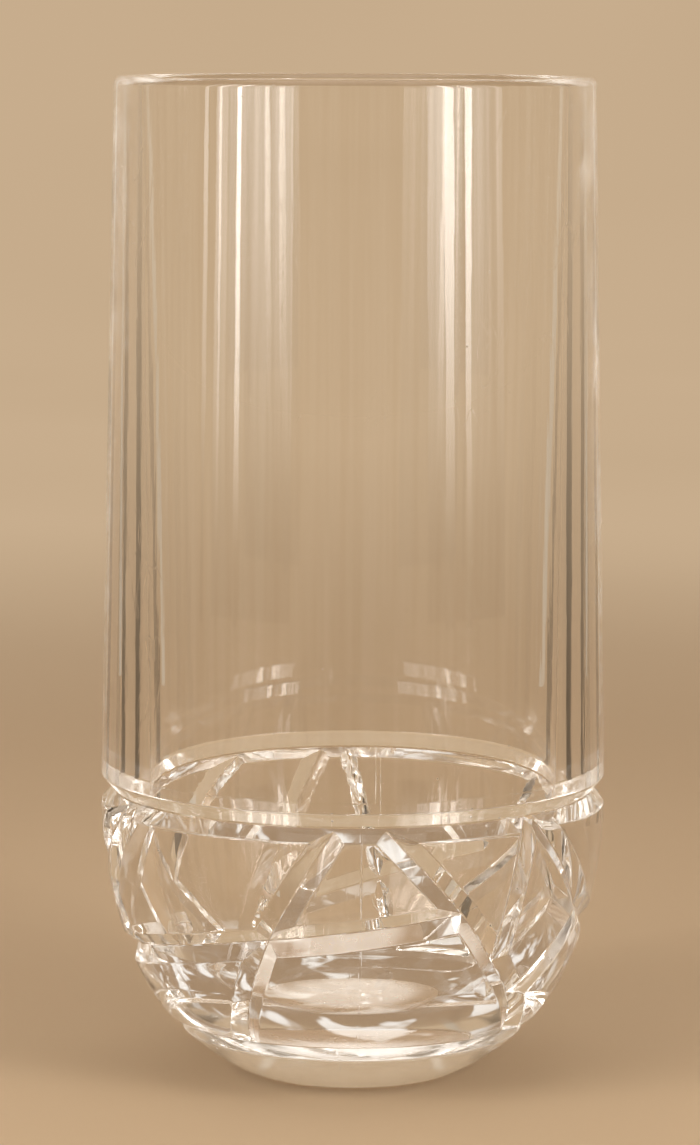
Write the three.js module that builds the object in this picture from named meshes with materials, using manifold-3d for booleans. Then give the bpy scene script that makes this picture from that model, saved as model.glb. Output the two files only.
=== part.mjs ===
// Clear acrylic highball tumbler: a plain tapered barrel cemented onto a thick bowl with V cuts.
// Millimetres, +Z up. The origin is on the table, under the middle of the base, and the front faces -Y.
import * as THREE from "three";
import { mergeVertices } from "three/addons/utils/BufferGeometryUtils.js";
import Module from "manifold-3d";

// Outside of the tumbler
const BOWL_HEIGHT = 42.8; // base to the lower edge of the ring groove
const RING_GROOVE_HEIGHT = 4.3; // the V groove between bowl and barrel
const RING_GROOVE_DEPTH = 1.8;
const BARREL_HEIGHT = 108.5; // upper edge of the ring groove to the rim
const BELLY_RADIUS = 39.5; // at both edges of the ring groove
const BARREL_TAPER = 2.3; // the rim's radius is this much smaller than the belly's
const LIP_ROUNDING = 1.3; // both edges of the rim

// Inside of the tumbler
const BELLY_WALL = 7.5; // beside the ring groove
const RIM_WALL = 4;
const FLOOR_THICKNESS = 10; // solid bottom under the middle of the cavity
const FLOOR_FULLNESS = 4; // larger makes the floor flatter and its corner squarer

// Bowl curve: a flattened oval that leaves the groove nearly upright and turns in towards the base
const CURVE_END_HEIGHT = 0.7; // where the curve would reach the axis
const CURVE_FALL = 1.765; // larger keeps the side upright for longer
const CURVE_FULLNESS = 3.75; // larger makes the lower corner squarer

// Foot below the small groove
const FOOT_RADIUS = 17; // flat disc that touches the table
const FOOT_SWELL = 0.5; // how far the foot's flank bulges past a straight cone
const FOOT_GROOVE_TOP = 9.3; // upper edge of the small groove, above the table
const FOOT_GROOVE_HEIGHT = 2.6;
const FOOT_GROOVE_DEPTH = 1.2;

// V cuts in the bowl
const CUT_WIDTH = 4.8;
const CUT_DEPTH = 1.5;
const CUT_TIP_LENGTH = 3; // each end rises to the surface over this length

// Lap joint between barrel and bowl
const LAP_HEIGHT = 3; // the bowl's spigot stands this far up inside the barrel
const CEMENT_THICKNESS = 0.2;
const CEMENT_CLEARANCE = 0.05; // each side of the cement film

// Fineness of the round surfaces
const SIDES = 72;
const CURVE_STEPS = 12;
const LIP_STEPS = 4;
const FOOT_STEPS = 3;
const CUT_STEP_LENGTH = 4;

// Levels and radii that the pieces share
const grooveMiddle = BOWL_HEIGHT + RING_GROOVE_HEIGHT / 2;
const barrelBottom = BOWL_HEIGHT + RING_GROOVE_HEIGHT;
const rimHeight = barrelBottom + BARREL_HEIGHT;
const cavityRadius = BELLY_RADIUS - BELLY_WALL;
const rimRadius = BELLY_RADIUS - BARREL_TAPER;
const mouthRadius = rimRadius - RIM_WALL;
const valleyRadius = BELLY_RADIUS - RING_GROOVE_DEPTH;
const lapRadius = (cavityRadius + valleyRadius) / 2;
const jointGap = CEMENT_THICKNESS + 2 * CEMENT_CLEARANCE;

// The two faces of the joint: the bowl ends below it and inside it, the barrel above it and outside it
const bowlFace = { level: grooveMiddle - jointGap / 2, radius: lapRadius - jointGap / 2 };
const barrelFace = { level: grooveMiddle + jointGap / 2, radius: lapRadius + jointGap / 2 };

const wasm = await Module();
wasm.setup();

// Radius of the bowl's uncut outside at a height above the table
function bowlRadius(height) {
  const fall = (BOWL_HEIGHT - height) / (BOWL_HEIGHT - CURVE_END_HEIGHT);
  const share = THREE.MathUtils.clamp(fall, 0, 1);
  return BELLY_RADIUS * (1 - share ** CURVE_FALL) ** (1 / CURVE_FULLNESS);
}

// A point of the bowl's uncut outside, with the azimuth counted from the front towards +X
function bowlPoint(azimuth, height) {
  const turn = THREE.MathUtils.degToRad(azimuth);
  const radius = bowlRadius(height);
  return new THREE.Vector3(radius * Math.sin(turn), -radius * Math.cos(turn), height);
}

// Points on a quarter round from one edge to the other, around a middle, turning by a right angle
function quarterRound(middle, radius, startAngle, steps) {
  const arc = new THREE.EllipseCurve(middle.x, middle.y, radius, radius, startAngle, startAngle + Math.PI / 2);
  return arc.getPoints(steps);
}

// Turns a profile of radius and height around the Z axis
function turned(profile) {
  const geometry = new THREE.LatheGeometry(profile, SIDES);
  geometry.rotateX(Math.PI / 2);
  return geometry;
}

// A closed geometry as a solid that can be cut
function solidFrom(geometry) {
  const bare = geometry.clone();
  bare.deleteAttribute("normal");
  bare.deleteAttribute("uv");
  const merged = mergeVertices(bare, 1e-4);
  return new wasm.Manifold(
    new wasm.Mesh({
      numProp: 3,
      vertProperties: merged.attributes.position.array,
      triVerts: new Uint32Array(merged.index.array),
    }),
  );
}

// The cut solid as a geometry again
function geometryFrom(solid) {
  const cut = solid.getMesh();
  const geometry = new THREE.BufferGeometry();
  geometry.setAttribute("position", new THREE.BufferAttribute(cut.vertProperties, 3));
  geometry.setIndex(new THREE.BufferAttribute(cut.triVerts, 1));
  geometry.computeVertexNormals();
  return geometry;
}

// Barrel: straight taper outside, rounded lip, nearly parallel bore, and a rebate that takes the spigot
function barrelProfile() {
  const outerLip = new THREE.Vector2(rimRadius - LIP_ROUNDING, rimHeight - LIP_ROUNDING);
  const innerLip = new THREE.Vector2(mouthRadius + LIP_ROUNDING, rimHeight - LIP_ROUNDING);
  const start = new THREE.Vector2(valleyRadius, barrelFace.level);
  return [
    start,
    new THREE.Vector2(BELLY_RADIUS, barrelBottom),
    ...quarterRound(outerLip, LIP_ROUNDING, 0, LIP_STEPS),
    ...quarterRound(innerLip, LIP_ROUNDING, Math.PI / 2, LIP_STEPS),
    new THREE.Vector2(cavityRadius, barrelFace.level + LAP_HEIGHT),
    new THREE.Vector2(barrelFace.radius, barrelFace.level + LAP_HEIGHT),
    new THREE.Vector2(barrelFace.radius, barrelFace.level),
    start.clone(),
  ];
}

// Cement: the film that fills the stepped gap between the two faces of the joint
function cementProfile() {
  const inner = bowlFace.radius + CEMENT_CLEARANCE;
  const outer = barrelFace.radius - CEMENT_CLEARANCE;
  const low = bowlFace.level + CEMENT_CLEARANCE;
  const high = barrelFace.level - CEMENT_CLEARANCE;
  const start = new THREE.Vector2(valleyRadius, low);
  return [
    start,
    new THREE.Vector2(valleyRadius, high),
    new THREE.Vector2(outer, high),
    new THREE.Vector2(outer, high + LAP_HEIGHT),
    new THREE.Vector2(cavityRadius, high + LAP_HEIGHT),
    new THREE.Vector2(cavityRadius, low + LAP_HEIGHT),
    new THREE.Vector2(inner, low + LAP_HEIGHT),
    new THREE.Vector2(inner, low),
    start.clone(),
  ];
}

// Foot: flat disc, slightly swollen flank, then the small V groove up to the bowl's curve
function footProfile() {
  const grooveBottom = FOOT_GROOVE_TOP - FOOT_GROOVE_HEIGHT;
  const disc = new THREE.Vector2(FOOT_RADIUS, 0);
  const lowerEdge = new THREE.Vector2(bowlRadius(grooveBottom), grooveBottom);
  const upperEdge = new THREE.Vector2(bowlRadius(FOOT_GROOVE_TOP), FOOT_GROOVE_TOP);
  const outwards = (from, to) => new THREE.Vector2(to.y - from.y, from.x - to.x).normalize();
  const swell = disc.clone().lerp(lowerEdge, 0.5).addScaledVector(outwards(disc, lowerEdge), FOOT_SWELL);
  const valley = lowerEdge.clone().lerp(upperEdge, 0.5);
  valley.addScaledVector(outwards(lowerEdge, upperEdge), -FOOT_GROOVE_DEPTH);
  const flank = new THREE.SplineCurve([disc, swell, lowerEdge]);
  return [new THREE.Vector2(0, 0), ...flank.getPoints(FOOT_STEPS * 2), valley];
}

// Bowl: foot, curved outside, lower flank of the ring groove, spigot, and the oval floor of the cavity
function bowlProfile() {
  const points = footProfile();
  const curveRise = BOWL_HEIGHT - FOOT_GROOVE_TOP;
  for (let step = 0; step <= CURVE_STEPS; step += 1) {
    const height = FOOT_GROOVE_TOP + (curveRise * step) / CURVE_STEPS;
    points.push(new THREE.Vector2(bowlRadius(height), height));
  }
  points.push(new THREE.Vector2(valleyRadius, bowlFace.level));
  points.push(new THREE.Vector2(bowlFace.radius, bowlFace.level));
  points.push(new THREE.Vector2(bowlFace.radius, bowlFace.level + LAP_HEIGHT));
  points.push(new THREE.Vector2(cavityRadius, bowlFace.level + LAP_HEIGHT));
  const floorRise = bowlFace.level - FLOOR_THICKNESS;
  for (let step = 0; step <= CURVE_STEPS; step += 1) {
    const share = 1 - (1 - step / CURVE_STEPS) ** 2;
    const angle = share * (Math.PI / 2);
    const height = bowlFace.level - floorRise * Math.sin(angle);
    const radius = cavityRadius * Math.cos(angle) ** (2 / FLOOR_FULLNESS);
    points.push(new THREE.Vector2(step < CURVE_STEPS ? radius : 0, height));
  }
  return points;
}

// Places where cuts meet: azimuth in degrees, and share of the way up from the small groove to the ring groove
const MEETING = {
  frontLeft: [-20.4, 0.52],
  frontRight: [26.5, 0.64],
  rightLow: [37, 0.39],
  rightFoot: [46.5, 0.2],
  rightSide: [70, 0.56],
  leftSide: [-76, 0.62],
  leftLow: [-68, 0.36],
  leftBack: [-103, 0.5],
  backLow: [-145, 0.21],
};
const atRing = (azimuth) => [azimuth, 1 + RING_GROOVE_HEIGHT / 2 / (BOWL_HEIGHT - FOOT_GROOVE_TOP)];
const atFoot = (azimuth) => [azimuth, -FOOT_GROOVE_HEIGHT / 4 / (BOWL_HEIGHT - FOOT_GROOVE_TOP)];

// Each cut runs through its places in order, and its width is a share of the full cut width
const CUTS = [
  { width: 1, places: [atRing(-3.8), MEETING.frontLeft] },
  { width: 1, places: [MEETING.frontLeft, atFoot(-34)] },
  { width: 1, places: [atRing(6.8), MEETING.frontRight] },
  { width: 1, places: [MEETING.frontRight, MEETING.rightLow, MEETING.rightFoot, atFoot(57)] },
  { width: 1, places: [MEETING.leftLow, MEETING.frontLeft, MEETING.frontRight] },
  { width: 0.75, places: [atRing(43), MEETING.rightLow] },
  { width: 1, places: [atRing(45), MEETING.rightSide] },
  { width: 0.9, places: [MEETING.rightSide, MEETING.rightFoot] },
  { width: 1, places: [atRing(-60), MEETING.leftSide] },
  { width: 0.9, places: [MEETING.leftSide, MEETING.leftLow] },
  { width: 1, places: [MEETING.leftLow, [-105, 0.25]] },
  { width: 1, places: [atRing(-64), [-97, 0.57], [-115, 0.33], atFoot(-131)] },
  { width: 1, places: [atRing(-146), [-117, 0.69], MEETING.leftBack] },
  { width: 1, places: [atRing(-171.5), [-157, 0.53], MEETING.backLow, atFoot(-133)] },
  { width: 1, places: [MEETING.backLow, [-167, 0.28], [-197, 0.43], [-224, 0.57], atRing(-252)] },
  { width: 0.6, places: [atRing(-178), [-186, 0.52], atFoot(-195)] },
  { width: 1, places: [atRing(-272), [-241, 0.6], [-221, 0.35], atFoot(-199)] },
  { width: 1, places: [MEETING.rightSide, [102, 0.3], atFoot(124)] },
];

// Wedge that takes out one V cut: it follows the bowl's surface, with its sharp edge below it
function cutWedge({ width, places }) {
  const bandHeight = BOWL_HEIGHT - FOOT_GROOVE_TOP;
  const stops = places.map(([azimuth, share]) => [azimuth, FOOT_GROOVE_TOP + share * bandHeight]);
  const path = [];
  for (let leg = 0; leg + 1 < stops.length; leg += 1) {
    const [azimuthA, heightA] = stops[leg];
    const [azimuthB, heightB] = stops[leg + 1];
    const length = bowlPoint(azimuthA, heightA).distanceTo(bowlPoint(azimuthB, heightB));
    const steps = Math.max(2, Math.round(length / CUT_STEP_LENGTH));
    for (let step = leg === 0 ? 0 : 1; step <= steps; step += 1) {
      const share = step / steps;
      const azimuth = THREE.MathUtils.lerp(azimuthA, azimuthB, share);
      path.push(bowlPoint(azimuth, THREE.MathUtils.lerp(heightA, heightB, share)));
    }
  }
  const corners = [];
  const along = path.map((point, index) => {
    const before = path[Math.max(0, index - 1)];
    const after = path[Math.min(path.length - 1, index + 1)];
    return after.clone().sub(before).normalize();
  });
  const outwards = path.map((point, index) => {
    const around = new THREE.Vector3(-point.y, point.x, 0).normalize();
    const probe = CUT_DEPTH / 10;
    const above = bowlRadius(point.z + probe);
    const below = bowlRadius(point.z - probe);
    const radial = new THREE.Vector3(point.x, point.y, 0).normalize();
    const upwards = radial.clone().multiplyScalar((above - below) / (2 * probe)).setZ(1).normalize();
    return around.clone().cross(upwards).normalize();
  });
  path.forEach((point, index) => {
    const across = along[index].clone().cross(outwards[index]).normalize();
    const top = point.clone().addScaledVector(outwards[index], CUT_DEPTH);
    corners.push(point.clone().addScaledVector(outwards[index], -CUT_DEPTH));
    corners.push(top.clone().addScaledVector(across, CUT_WIDTH * width));
    corners.push(top.clone().addScaledVector(across, -CUT_WIDTH * width));
  });
  const last = path.length - 1;
  const startTip = path[0].clone().addScaledVector(along[0], -CUT_TIP_LENGTH);
  const endTip = path[last].clone().addScaledVector(along[last], CUT_TIP_LENGTH);
  corners.push(startTip.addScaledVector(outwards[0], CUT_DEPTH));
  corners.push(endTip.addScaledVector(outwards[last], CUT_DEPTH));
  const faces = [];
  const ring = (index) => [index * 3, index * 3 + 1, index * 3 + 2];
  for (let index = 0; index < last; index += 1) {
    const near = ring(index);
    const far = ring(index + 1);
    for (let side = 0; side < 3; side += 1) {
      const next = (side + 1) % 3;
      faces.push(near[side], far[next], near[next]);
      faces.push(near[side], far[side], far[next]);
    }
  }
  for (let side = 0; side < 3; side += 1) {
    const next = (side + 1) % 3;
    faces.push(ring(0)[side], ring(0)[next], corners.length - 2);
    faces.push(ring(last)[next], ring(last)[side], corners.length - 1);
  }
  const geometry = new THREE.BufferGeometry().setFromPoints(corners);
  geometry.setIndex(faces);
  return geometry;
}

// The bowl with all its cuts taken out
function cutBowl() {
  let bowl = solidFrom(turned(bowlProfile()));
  for (const cut of CUTS) bowl = bowl.subtract(solidFrom(cutWedge(cut)));
  return geometryFrom(bowl);
}

const clearAcrylic = new THREE.MeshStandardMaterial({
  color: 0xf2ede6,
  roughness: 0.05,
  metalness: 0,
  transparent: true,
  opacity: 0.35,
});
const curedCement = new THREE.MeshStandardMaterial({
  color: 0xf6f1e4,
  roughness: 0.2,
  metalness: 0,
  transparent: true,
  opacity: 0.5,
});

function piece(name, geometry, material) {
  const mesh = new THREE.Mesh(geometry, material);
  mesh.name = name;
  return mesh;
}

const tumbler = new THREE.Group();
tumbler.add(piece("barrel", turned(barrelProfile()), clearAcrylic));
tumbler.add(piece("cut_bowl", cutBowl(), clearAcrylic));
tumbler.add(piece("cement_ring", turned(cementProfile()), curedCement));

export default tumbler;
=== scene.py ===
# %% [markdown]
# # A clear acrylic tumbler, cut and bonded
# The tumbler is three pieces: a plain tapered barrel, a thick bowl with V cuts, and the film of
# cement that bonds them in a stepped joint behind the ring groove.
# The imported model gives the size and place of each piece. This lesson remakes each one with fine, round
# surfaces, gives it the finish of polished acrylic, and lights it so that the cuts can be read.

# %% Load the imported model
import bmesh
import bpy
import math
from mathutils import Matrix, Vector


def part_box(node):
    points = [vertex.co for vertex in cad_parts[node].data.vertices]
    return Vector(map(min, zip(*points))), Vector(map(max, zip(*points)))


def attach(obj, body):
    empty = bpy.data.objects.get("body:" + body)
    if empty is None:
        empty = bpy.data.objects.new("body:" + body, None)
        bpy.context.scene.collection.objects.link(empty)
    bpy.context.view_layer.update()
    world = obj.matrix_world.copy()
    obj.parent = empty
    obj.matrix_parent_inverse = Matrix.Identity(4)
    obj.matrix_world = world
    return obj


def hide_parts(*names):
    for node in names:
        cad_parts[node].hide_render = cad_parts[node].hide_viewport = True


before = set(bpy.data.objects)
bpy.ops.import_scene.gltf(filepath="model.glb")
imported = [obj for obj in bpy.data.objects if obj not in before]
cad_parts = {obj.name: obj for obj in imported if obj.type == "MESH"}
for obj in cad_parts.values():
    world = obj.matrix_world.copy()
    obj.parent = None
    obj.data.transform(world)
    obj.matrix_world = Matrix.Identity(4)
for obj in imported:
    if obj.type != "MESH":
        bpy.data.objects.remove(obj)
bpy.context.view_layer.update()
scene = bpy.context.scene
MM = 0.001
print("nodes:", sorted(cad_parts))

# %% [markdown]
# ## Camera
# The photograph was taken with a long lens from a little above the rim, tilted down by about seven degrees.
# A camera could be aimed with a constraint. Here its place and tilt are written down, because they were
# worked out from the ellipses of the rim, the groove and the foot.

# %% Place the camera
CAMERA_PLACE = (-0.00054, -0.6747, 0.1651)
CAMERA_TILT_DOWN = math.radians(7.32)
CAMERA_ROLL = math.radians(0.2)
CAMERA_LENS_MM = 136.7
CAMERA_SENSOR_MM = 36

bpy.ops.object.select_all(action="DESELECT")
bpy.ops.object.camera_add(location=CAMERA_PLACE, rotation=(math.pi / 2 - CAMERA_TILT_DOWN, 0, 0))
camera = bpy.context.object
camera.name = "photo_camera"
camera.rotation_euler.rotate_axis("Z", CAMERA_ROLL)
camera.data.lens = CAMERA_LENS_MM
camera.data.sensor_width = CAMERA_SENSOR_MM
camera.data.clip_start = 0.01
camera.data.clip_end = 20
scene.camera = camera
print("camera", [round(value, 4) for value in camera.location])

# %% [markdown]
# ## Drawing a profile and turning it
# Glassware is round, so each piece starts as half of its outline, as on a lathe. A plane is merged into
# one vertex, the vertex is extruded along the outline, corners are rounded with a vertex bevel, and a spin
# turns the line into a surface. A primitive cylinder would give none of the curves.

# %% Helpers for turned pieces
ORIGIN = (0, 0, 0)
UP = (0, 0, 1)
FULL_TURN = 2 * math.pi
SAME_POINT = 0.001 * MM


def profile_point(radius, height):
    """A point of an outline, drawn in the plane that looks along +Y."""
    return Vector((radius, 0, height))


def draw_profile(name, points):
    """One vertex, extruded from point to point of an outline. The piece stays in edit mode."""
    bpy.ops.object.select_all(action="DESELECT")
    bpy.ops.mesh.primitive_plane_add(size=MM, location=ORIGIN)
    piece = bpy.context.object
    piece.name = name
    piece.data.name = name
    bpy.ops.object.mode_set(mode="EDIT")
    bpy.ops.mesh.select_all(action="SELECT")
    bpy.ops.mesh.merge(type="CENTER")
    bpy.ops.transform.translate(value=points[0])
    for before, after in zip(points, points[1:]):
        bpy.ops.mesh.extrude_region_move(TRANSFORM_OT_translate={"value": after - before})
    return piece


def round_corners(piece, corners, radius, segments):
    """Rounds the outline at these corners, each found by its place."""
    outline = bmesh.from_edit_mesh(piece.data)
    for vertex in outline.verts:
        vertex.select = any((vertex.co - corner).length < SAME_POINT for corner in corners)
    outline.select_flush_mode()
    bmesh.update_edit_mesh(piece.data)
    bpy.ops.mesh.bevel(offset=radius, segments=segments, affect="VERTICES")


def turn_profile(piece, steps):
    """Spins the outline round the Z axis, closes its seam and turns its faces outwards."""
    bpy.ops.mesh.select_all(action="SELECT")
    bpy.ops.mesh.spin(steps=steps, angle=FULL_TURN, center=ORIGIN, axis=UP)
    bpy.ops.mesh.select_all(action="SELECT")
    bpy.ops.mesh.remove_doubles(threshold=SAME_POINT)
    bpy.ops.mesh.normals_make_consistent(inside=False)
    bpy.ops.object.mode_set(mode="OBJECT")
    print(piece.name, len(piece.data.polygons), "faces")
    return piece


# %% [markdown]
# ## Floor and backdrop
# A pale floor that sweeps up into a wall, with no edge to be seen through the acrylic. It is one turned
# profile, so it looks the same from every side. Far from the tumbler the lamps reach it less, so its
# material fades to its own plain colour there, for the eye and for what the acrylic shows.

# %% Sweep the floor up into a wall
FLOOR_LEVEL = -0.2 * MM
FLOOR_REACH = 2.2
WALL_HEIGHT = 2.4
SWEEP_RADIUS = 0.8
SWEEP_SEGMENTS = 24
SWEEP_STEPS = 96

floor_corner = profile_point(FLOOR_REACH, FLOOR_LEVEL)
sweep = draw_profile("studio_sweep", [
    profile_point(0, FLOOR_LEVEL),
    floor_corner,
    profile_point(FLOOR_REACH, WALL_HEIGHT),
])
round_corners(sweep, [floor_corner], SWEEP_RADIUS, SWEEP_SEGMENTS)
turn_profile(sweep, SWEEP_STEPS)
bpy.ops.object.shade_smooth()

# %% [markdown]
# ## Building materials from nodes
# Every material here is a small network of nodes. A few helpers keep the cells short: one adds a node, one
# feeds a socket with a link or a value, and the rest stand for the nodes that come back again and again.
# The network could also be drawn by hand in the shader editor, and would be the same.

# %% Helpers for materials
def new_material(name):
    """An empty node material, its node tree and its output node."""
    material = bpy.data.materials.new(name)
    material.use_nodes = True
    material.node_tree.nodes.clear()
    output = material.node_tree.nodes.new("ShaderNodeOutputMaterial")
    return material, material.node_tree, output


def add_node(tree, kind, **settings):
    node = tree.nodes.new("ShaderNode" + kind)
    for key, value in settings.items():
        setattr(node, key, value)
    return node


def feed(tree, socket, value):
    """Links a socket to another, or sets it to a plain value."""
    if isinstance(value, bpy.types.NodeSocket):
        tree.links.new(value, socket)
    else:
        socket.default_value = value


def object_place(tree):
    return add_node(tree, "TexCoord").outputs["Object"]


def maths(tree, operation, *values):
    node = add_node(tree, "Math", operation=operation)
    for socket, value in zip(node.inputs, values):
        feed(tree, socket, value)
    return node.outputs[0]


def ramp(tree, value, start, end, first=0.0, last=1.0, interpolation="SMOOTHSTEP"):
    """A soft step: the first value up to the start, and the last value from the end on."""
    node = add_node(tree, "MapRange", interpolation_type=interpolation)
    feed(tree, node.inputs["Value"], value)
    node.inputs["From Min"].default_value = start
    node.inputs["From Max"].default_value = end
    node.inputs["To Min"].default_value = first
    node.inputs["To Max"].default_value = last
    return node.outputs["Result"]


def noise(tree, place, scale, detail, distortion=0):
    node = add_node(tree, "TexNoise")
    feed(tree, node.inputs["Vector"], place)
    node.inputs["Scale"].default_value = scale
    node.inputs["Detail"].default_value = detail
    node.inputs["Distortion"].default_value = distortion
    return node.outputs["Fac"]


def mix_tones(tree, share, first, second):
    node = add_node(tree, "Mix", data_type="RGBA")
    feed(tree, node.inputs["Factor"], share)
    feed(tree, node.inputs["A"], first)
    feed(tree, node.inputs["B"], second)
    return node.outputs["Result"]


def mix_shaders(tree, share, first, second):
    node = add_node(tree, "MixShader")
    for socket, value in zip(node.inputs, (share, first, second)):
        feed(tree, socket, value)
    return node.outputs[0]


def seen_ray(tree):
    """1 on the rays of sight: from the camera, off a gloss or through the acrylic."""
    path = add_node(tree, "LightPath").outputs
    direct = maths(tree, "MAXIMUM", path["Is Camera Ray"], path["Is Glossy Ray"])
    return maths(tree, "MAXIMUM", direct, path["Is Transmission Ray"])


# %% [markdown]
# ## Sand-coloured floor
# The floor is matt and pale. A thick bowl gathers the light that falls through it into bright pools, with
# shade between them. The renderer leaves such gathered light out, so a pattern of pools and shade lies
# close round the foot. Only the acrylic shows it, as bright and brown flashes in the cuts.

# %% Give the sweep its pale sand colour
SAND = (0.60, 0.44, 0.285, 1)
SAND_SHADE = (0.54, 0.39, 0.245, 1)
SPECKLES_PER_METRE = 3
LIT_RADIUS = 0.25
PLAIN_RADIUS = 0.75
POOL_LIGHT = (1.0, 0.95, 0.89, 1)
POOL_SHADE = (0.36, 0.24, 0.145, 1)
POOL_RADIUS = 0.045
POOL_END = 0.1
POOLS_PER_METRE = 60
POOL_SWIRL = 1.2
POOL_STEP = (0.53, 0.62)

sand, tree, output = new_material("pale_sand_floor")
place = object_place(tree)
tone = mix_tones(tree, noise(tree, place, SPECKLES_PER_METRE, 2), SAND, SAND_SHADE)
matt = add_node(tree, "BsdfPrincipled")
matt.inputs["Roughness"].default_value = 0.8
matt.inputs["Specular IOR Level"].default_value = 0.1
feed(tree, matt.inputs["Base Color"], tone)
away = add_node(tree, "VectorMath", operation="LENGTH")
feed(tree, away.inputs[0], place)
near_foot = ramp(tree, away.outputs["Value"], POOL_RADIUS, POOL_END, 1, 0)
through_acrylic = add_node(tree, "LightPath").outputs["Is Transmission Ray"]
dappled_share = maths(tree, "MULTIPLY", near_foot, through_acrylic)
pools = ramp(tree, noise(tree, place, POOLS_PER_METRE, 2, POOL_SWIRL), *POOL_STEP)
dappled = mix_tones(tree, pools, POOL_SHADE, POOL_LIGHT)
plain = add_node(tree, "Emission")
feed(tree, plain.inputs["Color"], mix_tones(tree, dappled_share, tone, dappled))
far_off = ramp(tree, away.outputs["Value"], LIT_RADIUS, PLAIN_RADIUS)
seen_far_off = maths(tree, "MULTIPLY", far_off, seen_ray(tree))
plain_share = maths(tree, "MAXIMUM", seen_far_off, dappled_share)
feed(tree, output.inputs["Surface"], mix_shaders(tree, plain_share, matt.outputs[0], plain.outputs[0]))
sweep.data.materials.append(sand)
print("floor colour", SAND[:3])

# %% [markdown]
# ## Light
# Clear acrylic has no colour of its own: it is read by what it mirrors and bends. Tall soft screens stand
# in front at the left and the right, and draw the upright streaks on the barrel. They grow dim towards the
# floor, so the streaks fade out downwards, and the wide ones hang in uneven folds. Lamps of the rectangle
# kind can't do that, so each screen is a turned strip with a glowing material. Cream screens and dark flags
# behind, beside the picture, draw the pale and dark lines along the edges, as is usual for clear ware.

# %% Helpers for a curved screen
SCREEN_STEPS = 12
FOLDS_PER_METRE = (26, 26, 0.8)
FOLD_STEP = (0.3, 0.7)


def glow(name, colour, radiance, dim_below, dimmest=0, folding=0):
    """A glowing material. Below a height it dims, down to the dimmest share, and folds make it uneven."""
    material, tree, output = new_material(name + "_glow")
    place = object_place(tree)
    split = add_node(tree, "SeparateXYZ")
    feed(tree, split.inputs[0], place)
    by_height = ramp(tree, split.outputs["Z"], 0.1 * dim_below, dim_below, dimmest * radiance, radiance)
    stretched = add_node(tree, "VectorMath", operation="MULTIPLY")
    feed(tree, stretched.inputs[0], place)
    feed(tree, stretched.inputs[1], FOLDS_PER_METRE)
    folds = noise(tree, stretched.outputs[0], 1, 2)
    uneven = ramp(tree, folds, *FOLD_STEP, 1 - folding, 1 + folding, interpolation="LINEAR")
    light = add_node(tree, "Emission")
    feed(tree, light.inputs["Color"], colour)
    feed(tree, light.inputs["Strength"], maths(tree, "MULTIPLY", by_height, uneven))
    feed(tree, output.inputs["Surface"], light.outputs[0])
    return material


def screen(name, start, end, distance, top, finish):
    """A strip of a cylinder round the tumbler. Azimuths are counted from the front towards +X."""
    strip = draw_profile(name, [profile_point(distance, 0), profile_point(distance, top)])
    bpy.ops.mesh.select_all(action="SELECT")
    bpy.ops.mesh.spin(steps=SCREEN_STEPS, angle=math.radians(start - end), center=ORIGIN, axis=UP)
    bpy.ops.object.mode_set(mode="OBJECT")
    strip.rotation_euler.z = math.radians(start - 90)
    bpy.ops.object.transform_apply(location=False, rotation=True, scale=False)
    strip.data.materials.append(finish)
    strip.visible_camera = False
    strip.visible_shadow = False
    print(name, "stands from", start, "to", end, "degrees")
    return strip


# %% Stand the windows and lines in front
LAMP_WHITE = (1.0, 0.965, 0.92, 1)
WINDOW_DISTANCE = 0.62
LINE_DISTANCE = 0.60
FRONT_TOP = 0.62
STREAK_DIM = 0.19
WINDOW_FOLDING = 0.75

# Name, first and last azimuth in degrees, and radiance
WINDOWS = [
    ("left_window", -66, -28, 3.2),
    ("right_window", 33, 71, 2.8),
]
LINES = [
    ("left_line", -55.2, -52.6, 21),
    ("left_thin_line", -64.2, -63, 12),
    ("left_faint_line", -72.5, -70.5, 5),
    ("right_line", 41.2, 45.4, 15),
    ("right_second_line", 51, 54, 15),
]
for name, start, end, radiance in WINDOWS:
    finish = glow(name, LAMP_WHITE, radiance, STREAK_DIM, folding=WINDOW_FOLDING)
    screen(name, start, end, WINDOW_DISTANCE, FRONT_TOP, finish)
for name, start, end, radiance in LINES:
    screen(name, start, end, LINE_DISTANCE, FRONT_TOP, glow(name, LAMP_WHITE, radiance, STREAK_DIM))

# %% Stand the cream screens and dark flags behind
BACK_DISTANCE = 0.36
BACK_TOP = 0.42
BACK_DIM = 0.14
BACK_DIMMEST = 0.72
CREAM = (0.76, 0.63, 0.48, 1)
FLAG_DISTANCE = 0.21
FLAG_TOP = 0.14
FLAG_RADIANCE = 0.95
FLAG_DIMMEST = 0.15

# Degrees to either side of straight behind
BACK_SCREEN = (27, 30)
FLAG = (36, 40.5)
SIDE_FLAG = (51, 56)


def behind(side, degrees):
    """First and last azimuth of a strip behind the tumbler. The left side has the larger azimuths."""
    inner, outer = degrees
    return (180 + inner, 180 + outer) if side == "left" else (180 - outer, 180 - inner)


for side in ("left", "right"):
    name = "back_%s_screen" % side
    finish = glow(name, CREAM, 1, BACK_DIM, BACK_DIMMEST)
    strips = [screen(name, *behind(side, BACK_SCREEN), BACK_DISTANCE, BACK_TOP, finish)]
    for name, degrees in ((side + "_flag", FLAG), (side + "_side_flag", SIDE_FLAG)):
        finish = glow(name, SAND, FLAG_RADIANCE, FLAG_TOP, FLAG_DIMMEST)
        strips.append(screen(name, *behind(side, degrees), FLAG_DISTANCE, FLAG_TOP, finish))
    for strip in strips:
        strip.visible_diffuse = False

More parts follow.
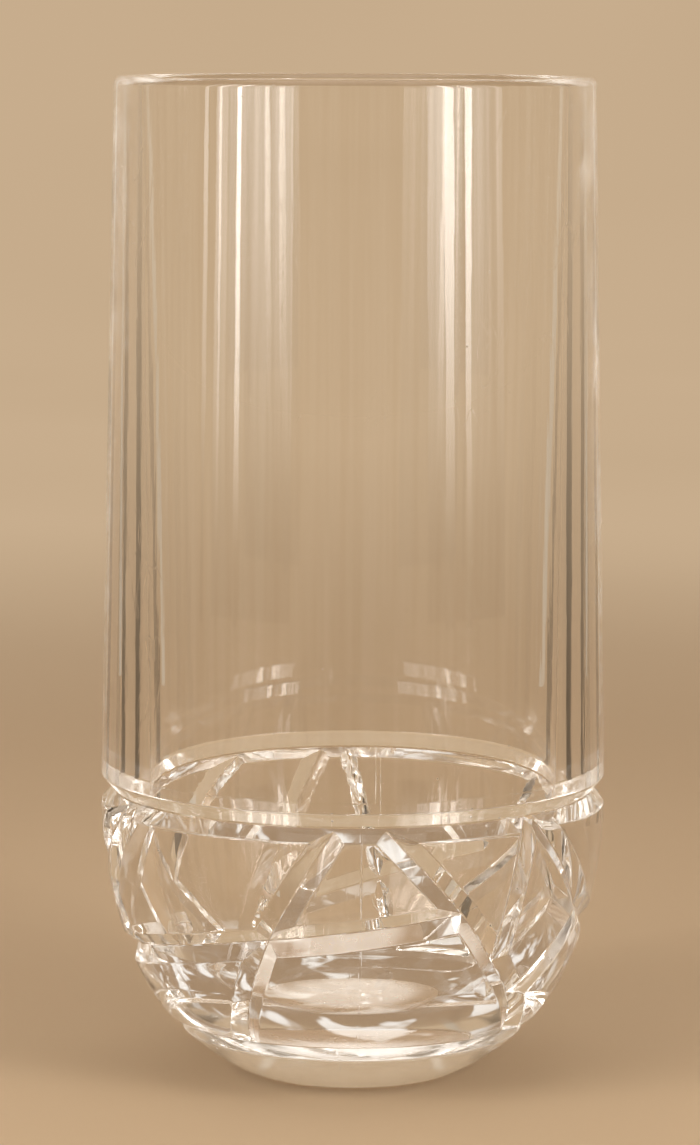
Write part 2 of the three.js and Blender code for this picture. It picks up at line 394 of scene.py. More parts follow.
# %% Hang the overhead soft box
OVERHEAD_SIZE = 0.9
OVERHEAD_LEVEL = 1.1
OVERHEAD_RADIANCE = 1.0
bpy.ops.object.light_add(type="AREA", location=(0, 0, OVERHEAD_LEVEL))
overhead = bpy.context.object
overhead.name = "overhead_box"
overhead.data.size = OVERHEAD_SIZE
overhead.data.color = LAMP_WHITE[:3]
overhead.data.energy = OVERHEAD_RADIANCE * math.pi * OVERHEAD_SIZE ** 2
overhead.visible_camera = False
print("overhead box", OVERHEAD_SIZE, "m wide")

# %% [markdown]
# ## Room
# An even room lights the floor, and a darker, warmer one is what the acrylic mirrors where no wall stands.
# Light is trapped for long in a cut bowl, so each ray may turn many times before it is given up. With few
# turns the cuts would show black.

# %% Fill the room evenly
ROOM_FILL = (0.50, 0.49, 0.475, 1)
ROOM_SEEN = (0.34, 0.27, 0.20, 1)
LIGHT_TURNS = 64

world = bpy.data.worlds.new("studio_room")
world.use_nodes = True
room = world.node_tree
room.nodes.clear()
fill_light = add_node(room, "Background")
feed(room, fill_light.inputs["Color"], ROOM_FILL)
seen_wall = add_node(room, "Background")
feed(room, seen_wall.inputs["Color"], ROOM_SEEN)
room_light = mix_shaders(room, seen_ray(room), fill_light.outputs[0], seen_wall.outputs[0])
feed(room, add_node(room, "OutputWorld").inputs["Surface"], room_light)
scene.world = world

scene.view_settings.view_transform = "Standard"
scene.cycles.max_bounces = LIGHT_TURNS
scene.cycles.transmission_bounces = LIGHT_TURNS
scene.cycles.glossy_bounces = LIGHT_TURNS
scene.cycles.transparent_max_bounces = LIGHT_TURNS
print("world", world.name)

# %% [markdown]
# ## Sizes
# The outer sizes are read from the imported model, so the dressed tumbler can't drift from it. What the
# model's boxes don't say, such as the walls and the depth of a groove, is written here once.

# %% Read and name the sizes
barrel_low, barrel_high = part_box("barrel")
cement_low, cement_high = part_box("cement_ring")
RIM_HEIGHT = barrel_high.z
BELLY_RADIUS = barrel_high.x
JOINT_GAP = 0.3 * MM
BARREL_FACE_LEVEL = barrel_low.z
BOWL_FACE_LEVEL = BARREL_FACE_LEVEL - JOINT_GAP
GROOVE_MIDDLE = BARREL_FACE_LEVEL - JOINT_GAP / 2
RING_GROOVE_HEIGHT = 4.3 * MM
RING_GROOVE_DEPTH = 1.8 * MM
BOWL_HEIGHT = GROOVE_MIDDLE - RING_GROOVE_HEIGHT / 2
BARREL_BOTTOM = GROOVE_MIDDLE + RING_GROOVE_HEIGHT / 2
BARREL_TAPER = 2.3 * MM
LIP_ROUNDING = 1.3 * MM
BELLY_WALL = 7.5 * MM
RIM_WALL = 4 * MM
FLOOR_THICKNESS = 10 * MM
LAP_HEIGHT = 3 * MM

RIM_RADIUS = BELLY_RADIUS - BARREL_TAPER
MOUTH_RADIUS = RIM_RADIUS - RIM_WALL
CAVITY_RADIUS = BELLY_RADIUS - BELLY_WALL
VALLEY_RADIUS = BELLY_RADIUS - RING_GROOVE_DEPTH
LAP_RADIUS = (CAVITY_RADIUS + VALLEY_RADIUS) / 2
BARREL_FACE_RADIUS = LAP_RADIUS + JOINT_GAP / 2
BOWL_FACE_RADIUS = LAP_RADIUS - JOINT_GAP / 2
print("rim", round(RIM_HEIGHT, 4), "belly radius", round(BELLY_RADIUS, 4), "groove", round(GROOVE_MIDDLE, 5))

# %% [markdown]
# ## Barrel
# The barrel is a thick sleeve that narrows a little towards a softly rounded lip. Its foot has the upper
# flank of the ring groove outside and a rebate inside, which takes the spigot of the bowl. The lip is two
# corners rounded by the same bevel, and the groove's edge has only the small softness of polishing.

# %% Turn the barrel
ROUND_STEPS = 320
LIP_SEGMENTS = 14
POLISHED_EDGE = 0.3 * MM
EDGE_SEGMENTS = 8

outer_lip = profile_point(RIM_RADIUS, RIM_HEIGHT)
inner_lip = profile_point(MOUTH_RADIUS, RIM_HEIGHT)
barrel_edge = profile_point(BELLY_RADIUS, BARREL_BOTTOM)
barrel_valley = profile_point(VALLEY_RADIUS, BARREL_FACE_LEVEL)
barrel = draw_profile("tapered_barrel", [
    barrel_valley,
    barrel_edge,
    outer_lip,
    inner_lip,
    profile_point(CAVITY_RADIUS, BARREL_FACE_LEVEL + LAP_HEIGHT),
    profile_point(BARREL_FACE_RADIUS, BARREL_FACE_LEVEL + LAP_HEIGHT),
    profile_point(BARREL_FACE_RADIUS, BARREL_FACE_LEVEL),
    barrel_valley,
])
round_corners(barrel, [outer_lip, inner_lip], LIP_ROUNDING, LIP_SEGMENTS)
round_corners(barrel, [barrel_edge], POLISHED_EDGE, EDGE_SEGMENTS)
turn_profile(barrel, ROUND_STEPS)

# %% [markdown]
# ## Cement
# A film of clear cement fills the stepped gap. Only its two edges show: one as a hairline in the valley of
# the ring groove, and one on the inside wall. It is drawn as a thin step and turned like the rest.

# %% Turn the cement film
FILM_CLEARANCE = 0.005 * MM
film_low = BOWL_FACE_LEVEL + FILM_CLEARANCE
film_high = BARREL_FACE_LEVEL - FILM_CLEARANCE
film_inner = BOWL_FACE_RADIUS + FILM_CLEARANCE
film_outer = BARREL_FACE_RADIUS - FILM_CLEARANCE
film_start = profile_point(VALLEY_RADIUS, film_low)
cement = draw_profile("cement_film", [
    film_start,
    profile_point(VALLEY_RADIUS, film_high),
    profile_point(film_outer, film_high),
    profile_point(film_outer, film_high + LAP_HEIGHT),
    profile_point(CAVITY_RADIUS, film_high + LAP_HEIGHT),
    profile_point(CAVITY_RADIUS, film_low + LAP_HEIGHT),
    profile_point(film_inner, film_low + LAP_HEIGHT),
    profile_point(film_inner, film_low),
    film_start,
])
turn_profile(cement, ROUND_STEPS)

# %% [markdown]
# ## Bowl before cutting
# The bowl is a thick moulding. Outside it leaves the groove upright and turns in towards a small flat foot,
# with a fine groove above it. Inside, its floor is dished: flat in the middle, and round where it rises into
# the wall. The outside curve is a formula, because the cuts have to follow the same curve later.

# %% Write the bowl's outside curve
CURVE_END_HEIGHT = 0.7 * MM
CURVE_FALL = 1.765
CURVE_FULLNESS = 3.75


def bowl_radius(height):
    """Radius of the bowl's uncut outside at a height above the table."""
    fall = (BOWL_HEIGHT - height) / (BOWL_HEIGHT - CURVE_END_HEIGHT)
    share = min(1, max(0, fall))
    return BELLY_RADIUS * (1 - share ** CURVE_FALL) ** (1 / CURVE_FULLNESS)


# %% Turn the bowl
FOOT_RADIUS = 17 * MM
FOOT_SWELL = 0.5 * MM
FOOT_GROOVE_TOP = 9.3 * MM
FOOT_GROOVE_HEIGHT = 2.6 * MM
FOOT_GROOVE_DEPTH = 1.2 * MM
FOOT_EDGE = 0.5 * MM
SWELL_STEPS = 10
CURVE_STEPS = 48
FLOOR_FULLNESS = 4
FLOOR_STEPS = 48


def outwards(start, end):
    """The direction that points out of the bowl, square to a straight stretch of its outline."""
    run = end - start
    return Vector((run.z, 0, -run.x)).normalized()


foot_groove_bottom = FOOT_GROOVE_TOP - FOOT_GROOVE_HEIGHT
foot_edge = profile_point(FOOT_RADIUS, 0)
lower_edge = profile_point(bowl_radius(foot_groove_bottom), foot_groove_bottom)
upper_edge = profile_point(bowl_radius(FOOT_GROOVE_TOP), FOOT_GROOVE_TOP)
foot_valley = (lower_edge + upper_edge) / 2 - FOOT_GROOVE_DEPTH * outwards(lower_edge, upper_edge)
bowl_outline = [profile_point(0, 0), foot_edge]
for step in range(1, SWELL_STEPS + 1):
    share = step / SWELL_STEPS
    bulge = FOOT_SWELL * 4 * share * (1 - share)
    bowl_outline.append(foot_edge.lerp(lower_edge, share) + bulge * outwards(foot_edge, lower_edge))
bowl_outline.append(foot_valley)
for step in range(CURVE_STEPS + 1):
    height = FOOT_GROOVE_TOP + (BOWL_HEIGHT - FOOT_GROOVE_TOP) * step / CURVE_STEPS
    bowl_outline.append(profile_point(bowl_radius(height), height))
bowl_edge = bowl_outline[-1].copy()
bowl_outline += [
    profile_point(VALLEY_RADIUS, BOWL_FACE_LEVEL),
    profile_point(BOWL_FACE_RADIUS, BOWL_FACE_LEVEL),
    profile_point(BOWL_FACE_RADIUS, BOWL_FACE_LEVEL + LAP_HEIGHT),
    profile_point(CAVITY_RADIUS, BOWL_FACE_LEVEL + LAP_HEIGHT),
]
for step in range(FLOOR_STEPS + 1):
    angle = math.pi / 2 * (1 - (1 - step / FLOOR_STEPS) ** 2)
    depth = (BOWL_FACE_LEVEL - FLOOR_THICKNESS) * math.sin(angle)
    radius = CAVITY_RADIUS * math.cos(angle) ** (2 / FLOOR_FULLNESS) if step < FLOOR_STEPS else 0
    bowl_outline.append(profile_point(radius, BOWL_FACE_LEVEL - depth))
bowl = draw_profile("hand_cut_bowl", bowl_outline)
round_corners(bowl, [foot_edge], FOOT_EDGE, EDGE_SEGMENTS)
round_corners(bowl, [lower_edge, upper_edge, bowl_edge], POLISHED_EDGE, EDGE_SEGMENTS)
turn_profile(bowl, ROUND_STEPS)

# %% [markdown]
# ## Cuts
# Each cut is one pass of a wheel with a V edge: a groove that follows the curve of the bowl, with flat
# flanks, a narrow valley and edges rounded by polishing, which catch the light as thin bright lines. A bump
# in the material couldn't bend the light as these do, so each cut is a solid wedge that is taken out of the
# bowl. The wedges are built from points, because they have to follow the curve and widen at each edge.

# %% Name the places where cuts meet
CUT_WIDTH = 4.8 * MM
CUT_DEPTH = 1.5 * MM
CUT_TIP_LENGTH = 3 * MM
BAND_HEIGHT = BOWL_HEIGHT - FOOT_GROOVE_TOP

# Azimuth in degrees from the front towards +X, and share of the way from the foot groove to the ring groove
FRONT_LEFT = (-20.4, 0.52)
FRONT_RIGHT = (26.5, 0.64)
RIGHT_LOW = (37, 0.39)
RIGHT_FOOT = (46.5, 0.2)
RIGHT_SIDE = (70, 0.56)
LEFT_SIDE = (-76, 0.62)
LEFT_LOW = (-68, 0.36)
LEFT_BACK = (-103, 0.5)
BACK_LOW = (-145, 0.21)


def at_ring(azimuth):
    return (azimuth, 1 + RING_GROOVE_HEIGHT / 2 / BAND_HEIGHT)


def at_foot(azimuth):
    return (azimuth, -FOOT_GROOVE_HEIGHT / 4 / BAND_HEIGHT)


# Width as a share of the full cut, then the places that the cut runs through
CUTS = [
    (1, [at_ring(-3.8), FRONT_LEFT]),
    (1, [FRONT_LEFT, at_foot(-34)]),
    (1, [at_ring(6.8), FRONT_RIGHT]),
    (1, [FRONT_RIGHT, RIGHT_LOW, RIGHT_FOOT, at_foot(57)]),
    (1, [LEFT_LOW, FRONT_LEFT, FRONT_RIGHT]),
    (0.75, [at_ring(43), RIGHT_LOW]),
    (1, [at_ring(45), RIGHT_SIDE]),
    (0.9, [RIGHT_SIDE, RIGHT_FOOT]),
    (1, [at_ring(-60), LEFT_SIDE]),
    (0.9, [LEFT_SIDE, LEFT_LOW]),
    (1, [LEFT_LOW, (-105, 0.25)]),
    (1, [at_ring(-64), (-97, 0.57), (-115, 0.33), at_foot(-131)]),
    (1, [at_ring(-146), (-117, 0.69), LEFT_BACK]),
    (1, [at_ring(-171.5), (-157, 0.53), BACK_LOW, at_foot(-133)]),
    (1, [BACK_LOW, (-167, 0.28), (-197, 0.43), (-224, 0.57), at_ring(-252)]),
    (0.6, [at_ring(-178), (-186, 0.52), at_foot(-195)]),
    (1, [at_ring(-272), (-241, 0.6), (-221, 0.35), at_foot(-199)]),
    (1, [RIGHT_SIDE, (102, 0.3), at_foot(124)]),
]
print(len(CUTS), "cuts")

# %% Shape the wedge of one cut
CUT_STEP_LENGTH = 1.5 * MM

# Half of the wedge's section: share of the cut's half width, and share of its depth
ROUNDED_EDGE = [(1.058, 0.002), (1.028, 0.009), (0.998, 0.02), (0.969, 0.037), (0.942, 0.059)]
HALF_SECTION = [(1.2, -0.8), (1.2, -0.03)] + ROUNDED_EDGE + [(0.06, 0.94), (0.02, 0.96)]


def bowl_point(azimuth, height):
    """A point of the bowl's uncut outside, with the azimuth in radians."""
    radius = bowl_radius(height)
    return Vector((radius * math.sin(azimuth), -radius * math.cos(azimuth), height))


def bowl_outwards(point):
    """The direction square to the bowl's uncut outside at one of its points."""
    probe = CUT_DEPTH / 10
    slope = (bowl_radius(point.z + probe) - bowl_radius(point.z - probe)) / (2 * probe)
    radial = Vector((point.x, point.y, 0)).normalized()
    return (radial - Vector((0, 0, slope))).normalized()


def cut_path(places):
    """Evenly spaced points on the bowl, along the cut."""
    stops = [(math.radians(azimuth), FOOT_GROOVE_TOP + share * BAND_HEIGHT) for azimuth, share in places]
    path = [bowl_point(*stops[0])]
    for (start_turn, start_height), (end_turn, end_height) in zip(stops, stops[1:]):
        reach = (bowl_point(end_turn, end_height) - bowl_point(start_turn, start_height)).length
        steps = max(2, round(reach / CUT_STEP_LENGTH))
        for step in range(1, steps + 1):
            share = step / steps
            turn = start_turn + (end_turn - start_turn) * share
            path.append(bowl_point(turn, start_height + (end_height - start_height) * share))
    return path


def cut_wedge(name, width, places):
    """The solid that one pass of the wheel takes out."""
    section = HALF_SECTION + [(-across, depth) for across, depth in reversed(HALF_SECTION)]
    path = cut_path(places)
    last = len(path) - 1
    points = []
    headings = []
    for index, point in enumerate(path):
        heading = (path[min(last, index + 1)] - path[max(0, index - 1)]).normalized()
        headings.append(heading)
        out = bowl_outwards(point)
        sideways = heading.cross(out).normalized()
        for across, depth in section:
            beside = point + sideways * (across * CUT_WIDTH * width / 2)
            surface = bowl_point(math.atan2(beside.x, -beside.y), beside.z)
            points.append(surface - out * (depth * CUT_DEPTH))
    start_tip = path[0] - headings[0] * CUT_TIP_LENGTH + bowl_outwards(path[0]) * CUT_DEPTH
    end_tip = path[last] + headings[last] * CUT_TIP_LENGTH + bowl_outwards(path[last]) * CUT_DEPTH
    points += [start_tip, end_tip]
    count = len(section)
    faces = []
    for side in range(count):
        following = (side + 1) % count
        for index in range(last):
            near, far = index * count, (index + 1) * count
            faces.append((near + side, near + following, far + following, far + side))
        faces.append((following, side, len(points) - 2))
        faces.append((last * count + side, last * count + following, len(points) - 1))
    mesh = bpy.data.meshes.new(name)
    mesh.from_pydata(points, [], faces)
    wedge = bpy.data.objects.new(name, mesh)
    scene.collection.objects.link(wedge)
    return wedge


# %% Take the cuts out of the bowl
def choose(piece):
    """Makes one piece the active and only selected one."""
    bpy.ops.object.select_all(action="DESELECT")
    piece.select_set(True)
    bpy.context.view_layer.objects.active = piece


for number, (width, places) in enumerate(CUTS, 1):
    wedge = cut_wedge("cut_wedge_%02d" % number, width, places)
    choose(wedge)
    bpy.ops.object.mode_set(mode="EDIT")
    bpy.ops.mesh.select_all(action="SELECT")
    bpy.ops.mesh.normals_make_consistent(inside=False)
    bpy.ops.object.mode_set(mode="OBJECT")
    choose(bowl)
    bpy.ops.object.modifier_add(type="BOOLEAN")
    cut = bowl.modifiers[-1]
    cut.operation = "DIFFERENCE"
    cut.solver = "MANIFOLD"
    cut.object = wedge
    bpy.ops.object.modifier_apply(modifier=cut.name)
    bpy.data.objects.remove(wedge)
print(bowl.name, len(bowl.data.polygons), "faces after", len(CUTS), "cuts")

# %% [markdown]
# ## Shading
# Polished acrylic has smooth round walls and crisp edges on the cuts. Smoothing by angle keeps both: a
# turned wall and the rounded edge of a cut step by a few degrees, and the valley of a cut turns by far more.

# %% Smooth the walls and keep the edges
CRISP_ANGLE = math.radians(9)
for piece in (barrel, cement, bowl):
    choose(piece)
    bpy.ops.object.shade_smooth_by_angle(angle=CRISP_ANGLE)

# %% [markdown]
# ## Surface marks
# Polished acrylic is never quite plain. The barrel has faint upright ripples from being drawn out of its
# mould, the foot has fine turned rings, each moulding has a hairline where the mould closed, and use adds
# scratches and dust. Each mark is a node group, so that the mouldings can share it. The groups only give
# heights and masks; the shader stays in the material. A photograph of scratches could do the same, but it
# would not follow the shape.

# %% Helpers for node groups
FLOAT = "NodeSocketFloat"
VECTOR = "NodeSocketVector"


def new_group(name, inputs, outputs):
    """A shader node group with named sockets, and its input and output nodes."""
    group = bpy.data.node_groups.new(name, "ShaderNodeTree")
    for label, kind in inputs:
        group.interface.new_socket(label, in_out="INPUT", socket_type=kind)
    for label in outputs:
        group.interface.new_socket(label, in_out="OUTPUT", socket_type=FLOAT)
    return group, group.nodes.new("NodeGroupInput"), group.nodes.new("NodeGroupOutput")


def use(tree, group, **values):
    """Adds a node group to a tree, feeds its inputs and returns its outputs."""
    node = add_node(tree, "Group", node_tree=group)
    for label, value in values.items():
        feed(tree, node.inputs[label], value)
    return node.outputs


# %% Node group: ripples stretched along one direction
ripples, start, end = new_group("stretched_ripples", [("Place", VECTOR), ("Stretch", VECTOR)], ["Height"])
scaled = add_node(ripples, "VectorMath", operation="MULTIPLY")
feed(ripples, scaled.inputs[0], start.outputs["Place"])
feed(ripples, scaled.inputs[1], start.outputs["Stretch"])
feed(ripples, end.inputs["Height"], noise(ripples, scaled.outputs[0], 1, 3))

# %% Node group: the line where the mould closed
MOULD_LINE_WIDTH = 0.14 * MM
mould_line, start, end = new_group("mould_line", [("Place", VECTOR), ("Azimuth", FLOAT)], ["Height"])
sideways = add_node(mould_line, "CombineXYZ")
feed(mould_line, sideways.inputs["X"], maths(mould_line, "COSINE", start.outputs["Azimuth"]))
feed(mould_line, sideways.inputs["Y"], maths(mould_line, "SINE", start.outputs["Azimuth"]))
aside = add_node(mould_line, "VectorMath", operation="DOT_PRODUCT")
feed(mould_line, aside.inputs[0], start.outputs["Place"])
feed(mould_line, aside.inputs[1], sideways.outputs[0])
distance = maths(mould_line, "ABSOLUTE", aside.outputs["Value"])
feed(mould_line, end.inputs["Height"], ramp(mould_line, distance, 0, MOULD_LINE_WIDTH, 1, 0))

# %% Node group: hairline scratches and dust
SCRATCH_STRETCH = (70, 70, 26)
SCRATCH_WIDTH = 0.004
PATCH_STRETCH = (45, 45, 45)
PATCH_STEP = (0.52, 0.62)
DUST_SCALE = 240
DUST_SIZE = (0.02, 0.07)
DUST_FREE_SHARE = 0.94

wear, start, end = new_group("scratches_and_dust", [("Place", VECTOR)], ["Scratches", "Dust"])
place = start.outputs["Place"]
path_noise = use(wear, ripples, Place=place, Stretch=SCRATCH_STRETCH)["Height"]
off_path = maths(wear, "ABSOLUTE", maths(wear, "SUBTRACT", path_noise, 0.5))
hairline = ramp(wear, off_path, 0, SCRATCH_WIDTH, 1, 0)
patch = ramp(wear, use(wear, ripples, Place=place, Stretch=PATCH_STRETCH)["Height"], *PATCH_STEP)
feed(wear, end.inputs["Scratches"], maths(wear, "MULTIPLY", hairline, patch))
specks = add_node(wear, "TexVoronoi")
feed(wear, specks.inputs["Vector"], place)
feed(wear, specks.inputs["Scale"], DUST_SCALE)
chance = add_node(wear, "SeparateColor")
feed(wear, chance.inputs["Color"], specks.outputs["Color"])
rare = maths(wear, "GREATER_THAN", chance.outputs["Red"], DUST_FREE_SHARE)
speck = ramp(wear, specks.outputs["Distance"], *DUST_SIZE, 1, 0)
feed(wear, end.inputs["Dust"], maths(wear, "MULTIPLY", rare, speck))
print("node groups:", [group.name for group in bpy.data.node_groups])

# %% [markdown]
# ## Acrylic
# One Principled shader with full transmission and the bending power of acrylic, for each of the two
# mouldings. The marks raise its surface by a few thousandths of a millimetre and take away a little gloss,
# and the drawn ripples tint it in fine upright lines. The flank of the foot is only satin, because it was
# turned and not polished.

# %% Acrylic of the two mouldings
ACRYLIC_IOR = 1.49
CLEAR_TINT = (0.996, 0.994, 0.990, 1)
WARM_TINT = (0.972, 0.958, 0.935, 1)
TINT_STEP = (0.36, 0.64)
DRAWN_STRETCH = (620, 620, 4)
TURNED_STRETCH = (12, 12, 3600)
TURNED_TOP = 17 * MM
TURNED_FADE = 2 * MM
SATIN_TOP = 6.6 * MM
SATIN_FADE = 0.4 * MM
SATIN_ROUGHNESS = 0.05
POLISHED_ROUGHNESS = 0.006
SCRATCH_ROUGHNESS = 0.12
DUST_ROUGHNESS = 0.6

# Heights in millimetres
MOULD_LINE_HEIGHT = 0.012
SCRATCH_HEIGHT = -0.002


def acrylic(name, mould_azimuth, drawn, turned):
    """Clear acrylic, with the heights of its drawn and turned ripples in millimetres."""
    material, tree, output = new_material(name)
    place = object_place(tree)
    split = add_node(tree, "SeparateXYZ")
    feed(tree, split.inputs[0], place)
    level = split.outputs["Z"]
    marks = use(tree, wear, Place=place)
    drawn_marks = use(tree, ripples, Place=place, Stretch=DRAWN_STRETCH)["Height"]
    turned_marks = use(tree, ripples, Place=place, Stretch=TURNED_STRETCH)["Height"]
    closing = use(tree, mould_line, Place=place, Azimuth=math.radians(mould_azimuth))["Height"]

    turned_height = ramp(tree, level, TURNED_TOP - TURNED_FADE, TURNED_TOP, turned, 0)
    height = maths(tree, "MULTIPLY", turned_marks, turned_height)
    for mark, size in (
        (drawn_marks, drawn),
        (closing, MOULD_LINE_HEIGHT),
        (marks["Scratches"], SCRATCH_HEIGHT),
    ):
        height = maths(tree, "MULTIPLY_ADD", mark, size, height)
    bump = add_node(tree, "Bump")
    feed(tree, bump.inputs["Distance"], MM)
    feed(tree, bump.inputs["Height"], height)

    rough = ramp(tree, level, SATIN_TOP - SATIN_FADE, SATIN_TOP, SATIN_ROUGHNESS, POLISHED_ROUGHNESS)
    rough = maths(tree, "MULTIPLY_ADD", marks["Scratches"], SCRATCH_ROUGHNESS, rough)
    rough = maths(tree, "MULTIPLY_ADD", marks["Dust"], DUST_ROUGHNESS, rough)

    shader = add_node(tree, "BsdfPrincipled")
    shader.inputs["IOR"].default_value = ACRYLIC_IOR
    shader.inputs["Transmission Weight"].default_value = 1
    tint = mix_tones(tree, ramp(tree, drawn_marks, *TINT_STEP), CLEAR_TINT, WARM_TINT)
    feed(tree, shader.inputs["Base Color"], tint)
    feed(tree, shader.inputs["Roughness"], rough)
    feed(tree, shader.inputs["Normal"], bump.outputs["Normal"])
    feed(tree, output.inputs["Surface"], shader.outputs[0])
    return material


barrel_acrylic = acrylic("barrel_acrylic", mould_azimuth=5.9, drawn=0.009, turned=0)
bowl_acrylic = acrylic("bowl_acrylic", mould_azimuth=2.05, drawn=0.002, turned=0.0012)
print("acrylic:", barrel_acrylic.name, bowl_acrylic.name)

# %% [markdown]
# ## Ground base
# The disc that touches the table was ground flat, so it is less clear than the rest and has the rings of
# the grinding. The thick bottom gathers light on it, which shows as a pale oval through the front of the
# bowl. A painted glow in the middle stands for that light, since the renderer doesn't gather it; its pale
# tones are also the ground disc's own colour. Round the glow it fades to a painted brown shade, which
# stands for the table seen through the base.

# %% Matt finish and painted glow for the base
RINGS_PER_METRE = 2600
RING_HEIGHT = 0.01 * MM
GROUND_STRETCH = (260, 260, 260)
GROUND_STEP = (0.3, 0.7)
GROUND_ROUGHNESS = (0.25, 0.4)
# The pale and grey tones colour the ground disc and also its painted glow; the dark brown is painted shade
# that stands for the table seen through the base.
GROUND_AND_GLOW_PALE = (0.88, 0.81, 0.73, 1)
GROUND_AND_GLOW_GREY = (0.76, 0.69, 0.61, 1)
GROUND_CLEARNESS = 0.9
PAINTED_TABLE_SHADE = (0.26, 0.17, 0.10, 1)
GATHERED_LIGHT = 0.62
SPOT_PLACE = (0, 4.5 * MM, 0)
SPOT_RADIUS = 8.5 * MM
SPOT_END = 14.5 * MM

ground_base_with_painted_glow, tree, output = new_material("ground_base_with_painted_glow")
place = object_place(tree)
from_axis = add_node(tree, "VectorMath", operation="LENGTH")
feed(tree, from_axis.inputs[0], place)
turns = maths(tree, "MULTIPLY", from_axis.outputs["Value"], RINGS_PER_METRE * FULL_TURN)
bump = add_node(tree, "Bump")
feed(tree, bump.inputs["Distance"], RING_HEIGHT)
feed(tree, bump.inputs["Height"], maths(tree, "SINE", turns))
from_spot = add_node(tree, "VectorMath", operation="DISTANCE")
feed(tree, from_spot.inputs[0], place)
feed(tree, from_spot.inputs[1], SPOT_PLACE)
spot = ramp(tree, from_spot.outputs["Value"], SPOT_RADIUS, SPOT_END, 1, 0)
uneven = use(tree, ripples, Place=place, Stretch=GROUND_STRETCH)["Height"]
tone = mix_tones(tree, uneven, GROUND_AND_GLOW_PALE, GROUND_AND_GLOW_GREY)
shader = add_node(tree, "BsdfPrincipled")
shader.inputs["IOR"].default_value = ACRYLIC_IOR
shader.inputs["Transmission Weight"].default_value = GROUND_CLEARNESS
# Painted light: the base glows like a lamp in the middle, as painted gathered light, and fades to a painted
# brown shade round it.
shader.inputs["Emission Strength"].default_value = GATHERED_LIGHT
feed(tree, shader.inputs["Base Color"], tone)
feed(tree, shader.inputs["Emission Color"], mix_tones(tree, spot, PAINTED_TABLE_SHADE, tone))
feed(tree, shader.inputs["Roughness"], ramp(tree, uneven, *GROUND_STEP, *GROUND_ROUGHNESS))
feed(tree, shader.inputs["Normal"], bump.outputs["Normal"])
feed(tree, output.inputs["Surface"], shader.outputs[0])
print("base:", ground_base_with_painted_glow.name)

# %% [markdown]
# ## Cement and bond
# The cured cement bends light as the acrylic does, so where it bonds, the joint disappears: the bonded
# faces are see-through, apart from a few bubbles that were caught in the film. Only the film's free edges
# show, a little warmer and less smooth than the acrylic.

# %% Cured cement
CEMENT_CLEAR = (0.975, 0.955, 0.90, 1)
CEMENT_WARM = (0.95, 0.92, 0.845, 1)
CEMENT_STRETCH = (320, 320, 1500)
CEMENT_STEP = (0.3, 0.7)
CEMENT_ROUGHNESS = (0.05, 0.16)
CEMENT_BUMP = 0.02 * MM

cured_cement, tree, output = new_material("cured_cement")
flow = use(tree, ripples, Place=object_place(tree), Stretch=CEMENT_STRETCH)["Height"]
bump = add_node(tree, "Bump")
feed(tree, bump.inputs["Distance"], CEMENT_BUMP)
feed(tree, bump.inputs["Height"], flow)
shader = add_node(tree, "BsdfPrincipled")
shader.inputs["IOR"].default_value = ACRYLIC_IOR
shader.inputs["Transmission Weight"].default_value = 1
feed(tree, shader.inputs["Base Color"], mix_tones(tree, flow, CEMENT_CLEAR, CEMENT_WARM))
feed(tree, shader.inputs["Roughness"], ramp(tree, flow, *CEMENT_STEP, *CEMENT_ROUGHNESS))
feed(tree, shader.inputs["Normal"], bump.outputs["Normal"])
feed(tree, output.inputs["Surface"], shader.outputs[0])
print("cement:", cured_cement.name)

# %% Bonded faces with a few bubbles
BUBBLE_SCALE = 700
BUBBLE_SIZE = (0.1, 0.16)
BUBBLE_ALPHA = 0.35
BUBBLE_FREE_SHARE = 0.93

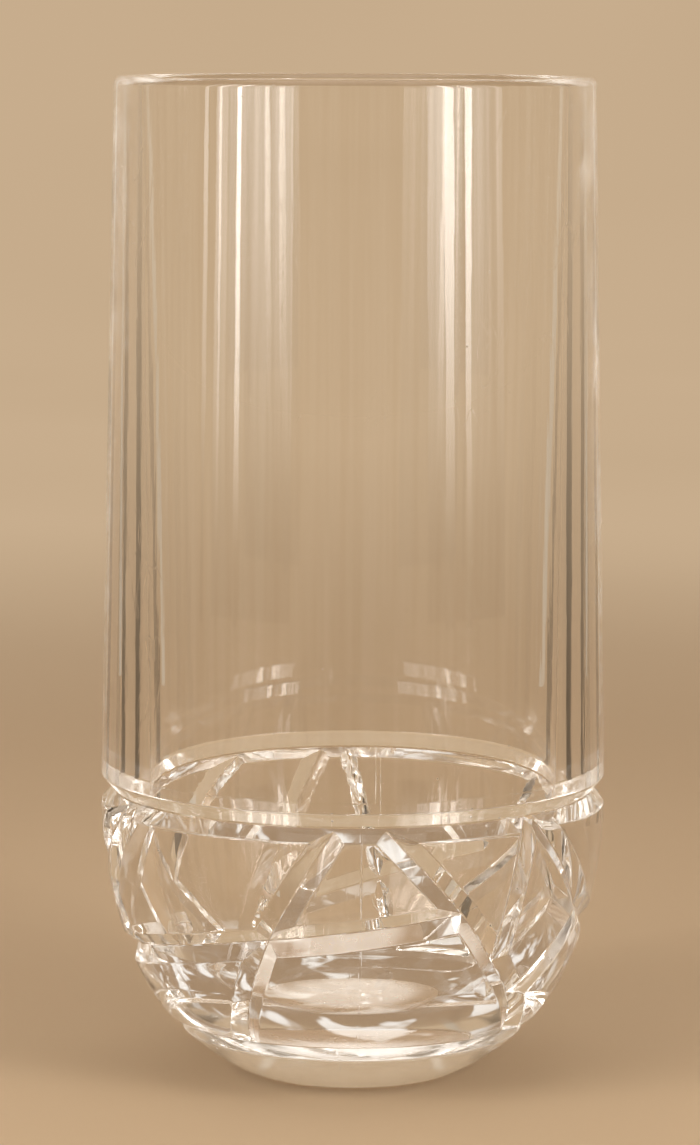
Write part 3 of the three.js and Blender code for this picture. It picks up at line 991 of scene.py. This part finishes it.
bonded_face, tree, output = new_material("bonded_face")
bubbles = add_node(tree, "TexVoronoi")
feed(tree, bubbles.inputs["Vector"], object_place(tree))
feed(tree, bubbles.inputs["Scale"], BUBBLE_SCALE)
chance = add_node(tree, "SeparateColor")
feed(tree, chance.inputs["Color"], bubbles.outputs["Color"])
rare = maths(tree, "GREATER_THAN", chance.outputs["Red"], BUBBLE_FREE_SHARE)
round_spot = ramp(tree, bubbles.outputs["Distance"], *BUBBLE_SIZE, BUBBLE_ALPHA, 0)
shader = add_node(tree, "BsdfPrincipled")
shader.inputs["Base Color"].default_value = CEMENT_CLEAR
shader.inputs["Roughness"].default_value = 0.2
feed(tree, shader.inputs["Alpha"], maths(tree, "MULTIPLY", rare, round_spot))
feed(tree, output.inputs["Surface"], shader.outputs[0])
print("bond:", bonded_face.name)

# %% Give the bonded faces their own material
NEAR = 0.02 * MM


def bond_faces(piece, levels, sleeve_radius):
    """Faces that lie against the cement: flat rings at these levels, and the upright sleeve between them."""
    count = 0
    for face in piece.data.polygons:
        radius = math.hypot(face.center.x, face.center.y)
        on_level = any(abs(face.center.z - level) < NEAR for level in levels) and abs(face.normal.z) > 0.9
        on_sleeve = abs(radius - sleeve_radius) < NEAR and abs(face.normal.z) < 0.1
        inside_wall = CAVITY_RADIUS - NEAR < radius < VALLEY_RADIUS + NEAR
        if inside_wall and (on_level or on_sleeve):
            face.material_index = 1
            count += 1
    print(piece.name, count, "bonded faces")


for piece, finish in ((barrel, barrel_acrylic), (bowl, bowl_acrylic), (cement, cured_cement)):
    piece.data.materials.clear()
    piece.data.materials.append(finish)
    piece.data.materials.append(bonded_face)
bowl.data.materials.append(ground_base_with_painted_glow)
for face in bowl.data.polygons:
    if face.center.z < NEAR:
        face.material_index = 2
bond_faces(barrel, [BARREL_FACE_LEVEL, BARREL_FACE_LEVEL + LAP_HEIGHT], BARREL_FACE_RADIUS)
bond_faces(bowl, [BOWL_FACE_LEVEL, BOWL_FACE_LEVEL + LAP_HEIGHT], BOWL_FACE_RADIUS)
bond_faces(cement, [film_low, film_high, film_low + LAP_HEIGHT, film_high + LAP_HEIGHT], film_inner)
bond_faces(cement, [], film_outer)

# %% [markdown]
# ## Pieces on the model
# Each piece rides on the one body of the model and takes the place of its CAD node, which is hidden.

# %% Tie each piece to the model
for piece, node, finish in (
    (barrel, "barrel", "clear_acrylic"),
    (bowl, "cut_bowl", "clear_acrylic"),
    (cement, "cement_ring", "cured_cement"),
):
    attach(piece, "root")
    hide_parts(node)
